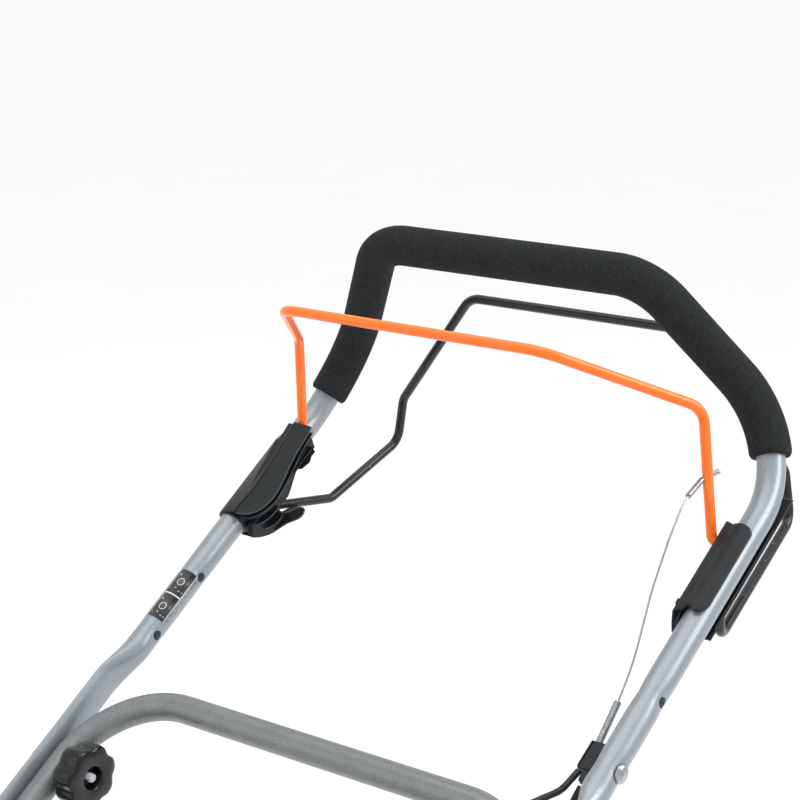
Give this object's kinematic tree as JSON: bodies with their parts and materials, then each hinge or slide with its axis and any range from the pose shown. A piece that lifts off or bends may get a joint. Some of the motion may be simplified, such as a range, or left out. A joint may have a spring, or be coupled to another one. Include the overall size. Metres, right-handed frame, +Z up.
{
  "type": "reel mower",
  "caption": "Walk-behind petrol reel mower: folding tubular handle with foam grip and two control bails, engine deck, driven wheels, spinning reel and front roller.",
  "frame": {"origin": "on the ground, under the middle of the mower's bounding box", "axes": "+X the operator's right, +Y forward (the way it mows), +Z up"},
  "size_m": [0.702, 1.3092, 1.0073],
  "materials": {
    "silver_paint": "light blue-grey silver paint, satin",
    "grey_paint": "warm grey metallic paint with fine sparkle",
    "foam": "closed-cell foam, matt, fine grain",
    "orange_coat": "gloss orange powder coat",
    "black_coat": "gloss black powder coat",
    "black_plastic": "moulded black nylon, semi-matt",
    "knob_plastic": "gloss black plastic",
    "zinc": "bright zinc plate",
    "steel": "plain machined steel",
    "body_paint": "dark grey enamel",
    "casting": "sand-cast aluminium",
    "heat_steel": "heat-blued pressed steel",
    "rubber": "black rubber",
    "tyre": "moulded rubber tread",
    "tank_plastic": "blow-moulded black plastic",
    "orange_plastic": "gloss orange plastic"
  },
  "bodies": {
    "chassis": {"side_plate_right": "body_paint", "side_plate_left": "body_paint", "rear_tie_rod": "zinc", "front_tie_rod": "zinc", "deck": "body_paint", "grass_shield": "body_paint", "handle_bracket_right": "black_coat", "handle_bracket_left": "black_coat", "engine_block": "casting", "blower_housing": "body_paint", "recoil_cover": "orange_coat", "fuel_tank": "tank_plastic", "air_cleaner": "tank_plastic", "muffler": "heat_steel", "plug_lead": "rubber", "belt_cover": "body_paint", "chain_cover": "body_paint", "bed_knife": "steel", "roller_bracket_right": "zinc", "roller_bracket_left": "zinc", "drive_belt": "rubber", "reel_chain": "steel", "axle_chain": "steel"},
    "lower_handle": {"lower_handle": "grey_paint", "pivot_bolt_right": "zinc", "pivot_bolt_left": "zinc", "stop_bolt_right": "zinc", "stop_bolt_left": "zinc", "fold_bolt_right": "zinc", "fold_bolt_left": "zinc", "brake_sheath": "rubber", "drive_sheath": "rubber"},
    "upper_handle": {"upper_handle": "silver_paint", "foam_grip": "foam", "lever_bracket_right": "black_plastic", "lever_bracket_left": "black_plastic", "wire_ferrule": "zinc", "cable_block": "black_plastic", "leg_bolt": "zinc"},
    "stop_bail": {"stop_bail": "orange_coat"},
    "brake_wire": {"brake_wire": "zinc"},
    "drive_bail": {"drive_bail": "black_coat"},
    "fold_knob_right": {"fold_knob_right": "knob_plastic"},
    "fold_knob_left": {"fold_knob_left": "knob_plastic"},
    "throttle_lever": {"throttle_lever": "orange_plastic"},
    "fuel_cap": {"fuel_cap": "black_plastic"},
    "starter_grip": {"starter_grip": "knob_plastic"},
    "crank": {"crank_pulley": "steel"},
    "countershaft": {"countershaft": "steel"},
    "reel": {"reel": "steel"},
    "axle": {"axle": "steel"},
    "wheel_right": {"wheel_right": "black_plastic", "tyre_right": "tyre"},
    "wheel_left": {"wheel_left": "black_plastic", "tyre_left": "tyre"},
    "front_roller": {"front_roller": "casting"},
    "idler_arm": {"idler_arm": "zinc"},
    "idler_roller": {"idler_roller": "black_plastic"}
  },
  "joints": [
    {"name": "handle_lift", "type": "hinge", "parent": "chassis", "child": "lower_handle", "pos_m": [0, 0.26226, 0.26759], "axis": [1, 0, 0], "range_deg": [-14, 0]},
    {"name": "handle_fold", "type": "hinge", "parent": "lower_handle", "child": "upper_handle", "pos_m": [0, -0.2476, 0.6115], "axis": [1, 0, 0], "range_deg": [-150, 0]},
    {"name": "stop_bail_squeeze", "type": "hinge", "parent": "upper_handle", "child": "stop_bail", "pos_m": [0, -0.5264, 0.80438], "axis": [1, 0, 0], "range_deg": [0, 33], "stiffness_Nm_per_rad": 0.8, "springref_deg": -28.65},
    {"name": "brake_wire_swing", "type": "hinge", "parent": "stop_bail", "child": "brake_wire", "pos_m": [-0.196, -0.51421, 0.85465], "axis": [1, 0, 0], "range_deg": [-28, 0]},
    {"name": "drive_bail_squeeze", "type": "hinge", "parent": "upper_handle", "child": "drive_bail", "pos_m": [0, -0.50251, 0.76112], "axis": [1, 0, 0], "range_deg": [-19, 0], "stiffness_Nm_per_rad": 0.8, "springref_deg": 34.38},
    {"name": "right_knob_turn", "type": "hinge", "parent": "lower_handle", "child": "fold_knob_right", "pos_m": [0.18, -0.2476, 0.6115], "axis": [1, 0, 0], "continuous": true},
    {"name": "left_knob_turn", "type": "hinge", "parent": "lower_handle", "child": "fold_knob_left", "pos_m": [-0.18, -0.2476, 0.6115], "axis": [1, 0, 0], "continuous": true},
    {"name": "throttle_swing", "type": "hinge", "parent": "chassis", "child": "throttle_lever", "pos_m": [0.0728, 0.31855, 0.35], "axis": [1, 0, 0], "range_deg": [-35, 0]},
    {"name": "fuel_cap_turn", "type": "hinge", "parent": "chassis", "child": "fuel_cap", "pos_m": [-0.034, 0.32055, 0.47], "axis": [0, 0, 1], "continuous": true},
    {"name": "starter_pull", "type": "slide", "parent": "chassis", "child": "starter_grip", "axis": [0, -0.6, 0.8], "range_m": [0, 0.6], "stiffness_N_per_m": 12, "springref_m": -0.4},
    {"name": "crank_spin", "type": "hinge", "parent": "chassis", "child": "crank", "pos_m": [0, 0.36355, 0.316], "axis": [1, 0, 0], "continuous": true},
    {"name": "countershaft_spin", "type": "hinge", "parent": "chassis", "child": "countershaft", "pos_m": [0, 0.37655, 0.178], "axis": [1, 0, 0], "continuous": true},
    {"name": "reel_spin", "type": "hinge", "parent": "chassis", "child": "reel", "pos_m": [0, 0.50355, 0.12], "axis": [1, 0, 0], "continuous": true},
    {"name": "axle_spin", "type": "hinge", "parent": "chassis", "child": "axle", "pos_m": [0, 0.25855, 0.125], "axis": [1, 0, 0], "continuous": true},
    {"name": "right_wheel_roll", "type": "hinge", "parent": "axle", "child": "wheel_right", "pos_m": [0.322, 0.25855, 0.125], "axis": [1, 0, 0], "continuous": true},
    {"name": "left_wheel_roll", "type": "hinge", "parent": "axle", "child": "wheel_left", "pos_m": [-0.322, 0.25855, 0.125], "axis": [1, 0, 0], "continuous": true},
    {"name": "front_roller_roll", "type": "hinge", "parent": "chassis", "child": "front_roller", "pos_m": [0, 0.62055, 0.032], "axis": [1, 0, 0], "continuous": true},
    {"name": "idler_swing", "type": "hinge", "parent": "chassis", "child": "idler_arm", "pos_m": [0.258, 0.27855, 0.2], "axis": [1, 0, 0], "range_deg": [-4, 0], "stiffness_Nm_per_rad": 2, "springref_deg": 5.73},
    {"name": "idler_spin", "type": "hinge", "parent": "idler_arm", "child": "idler_roller", "pos_m": [0.27, 0.29855, 0.252], "axis": [1, 0, 0], "continuous": true}
  ],
  "couplings": [
    {"joint": "brake_wire_swing", "follows": "stop_bail_squeeze", "ratio": -0.8},
    {"joint": "idler_swing", "follows": "drive_bail_squeeze", "ratio": 0.2},
    {"joint": "reel_spin", "follows": "countershaft_spin", "ratio": 1},
    {"joint": "axle_spin", "follows": "countershaft_spin", "ratio": 0.33333}
  ]
}
